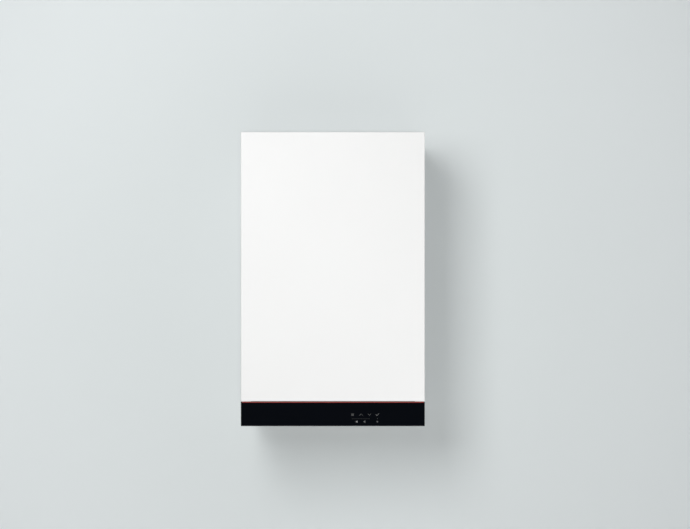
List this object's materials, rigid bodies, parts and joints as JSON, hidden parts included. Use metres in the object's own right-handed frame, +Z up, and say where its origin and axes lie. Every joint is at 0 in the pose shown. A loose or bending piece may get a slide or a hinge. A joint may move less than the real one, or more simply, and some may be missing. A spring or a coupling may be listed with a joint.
{
  "type": "wall hung combi boiler",
  "caption": "Wall-hung combi boiler: flat white casing over a black touch control strip with a red line, lift-off front, tilting control unit and full inner works.",
  "frame": {"origin": "midway between the two wall bolts, on the face of the wall", "axes": "+X to the right of someone facing the boiler, +Y into the wall, +Z up"},
  "size_m": [0.45, 0.36, 0.754],
  "materials": {
    "white_casing": "smooth satin powder coat",
    "galvanised": "galvanised sheet, dull",
    "spring_steel": "bare spring steel",
    "foam": "closed-cell foam",
    "black_gloss": "polished",
    "accent_red": "satin, in the colour all through",
    "black_plastic": "fine moulded texture",
    "clear_grey_plastic": "fine moulded texture",
    "circuit_board": "solder resist",
    "vessel_paint": "gloss enamel",
    "stainless": "drawn sheet, dull",
    "cast_aluminium": "die cast",
    "zinc_steel": "zinc plated",
    "ceramic_white": "glazed",
    "red_rubber": "silicone sleeve",
    "grey_plastic": "glass-filled, dull",
    "flue_white_plastic": "smooth",
    "cap_red": "moulded",
    "trap_plastic": "milky moulding",
    "hose_rubber": "dull",
    "brass": "forged, turned faces",
    "pump_body": "glass-filled composite",
    "pump_motor": "dip painted",
    "copper": "drawn copper tube"
  },
  "bodies": {
    "casing": {"air_silencer": "grey_plastic", "back_panel": "galvanised", "bottom_panel": "galvanised", "burner": "stainless", "burner_door": "cast_aluminium", "case_screws": "zinc_steel", "clip_sensors": "grey_plastic", "condensate_hoses": "hose_rubber", "condensate_trap": "trap_plastic", "diverter_actuator": "grey_plastic", "door_nuts": "zinc_steel", "electrodes": "ceramic_white", "exchanger_coil": "stainless", "exchanger_shell": "stainless", "exchanger_support": "galvanised", "expansion_vessel": "vessel_paint", "fan_motor": "cast_aluminium", "fan_scroll": "grey_plastic", "flow_block": "brass", "flow_pipe": "copper", "flue_riser": "flue_white_plastic", "flue_socket": "flue_white_plastic", "front_seal": "foam", "gas_air_mixer": "cast_aluminium", "gas_feed_pipe": "copper", "gas_inlet_pipe": "copper", "gas_valve": "cast_aluminium", "hinge_brackets": "galvanised", "ignition_lead": "red_rubber", "ignition_transformer": "black_plastic", "lock_nuts": "brass", "lower_crossbar": "galvanised", "panel_clips": "spring_steel", "plate_exchanger": "stainless", "premix_duct": "cast_aluminium", "pump_motor": "pump_motor", "pump_volute": "pump_body", "relief_valve": "brass", "return_block": "brass", "return_pipe": "copper", "side_panel_left": "white_casing", "side_panel_right": "white_casing", "test_point_caps": "cap_red", "top_panel": "white_casing", "vessel_pipe": "copper", "wall_bracket": "galvanised"},
    "front_panel": {"front_panel": "white_casing"},
    "control_unit": {"control_fascia": "black_gloss", "accent_strip": "accent_red", "control_housing": "black_plastic", "control_cover": "clear_grey_plastic", "main_board": "circuit_board", "touch_board": "circuit_board", "cable_glands": "black_plastic", "switch_body": "black_plastic"},
    "rocker": {"power_rocker": "black_plastic"},
    "fan_rotor": {"fan_impeller": "grey_plastic"},
    "pump_rotor": {"pump_impeller": "grey_plastic"},
    "diverter": {"diverter_spindle": "brass"},
    "relief_handle": {"relief_knob": "cap_red"}
  },
  "joints": [
    {"name": "panel_pull", "type": "slide", "parent": "casing", "child": "front_panel", "axis": [0, -1, 0], "range_m": [0, 0.12]},
    {"name": "control_hinge", "type": "hinge", "parent": "casing", "child": "control_unit", "pos_m": [0, -0.208, -0.6555], "axis": [1, 0, 0], "range_deg": [0, 90]},
    {"name": "power_switch", "type": "hinge", "parent": "control_unit", "child": "rocker", "pos_m": [0.186, -0.3, -0.6576], "axis": [0, 1, 0], "range_deg": [0, 16]},
    {"name": "fan_spin", "type": "hinge", "parent": "casing", "child": "fan_rotor", "pos_m": [0.138, -0.2865, -0.05], "axis": [0, 1, 0], "continuous": true},
    {"name": "pump_spin", "type": "hinge", "parent": "casing", "child": "pump_rotor", "pos_m": [0.13, -0.15, -0.472], "axis": [0, 1, 0], "continuous": true},
    {"name": "diverter_travel", "type": "slide", "parent": "casing", "child": "diverter", "axis": [0, 0, 1], "range_m": [-0.006, 0]},
    {"name": "relief_turn", "type": "hinge", "parent": "casing", "child": "relief_handle", "pos_m": [0.185, -0.155, -0.545], "axis": [0, 1, 0], "range_deg": [0, 90]}
  ]
}
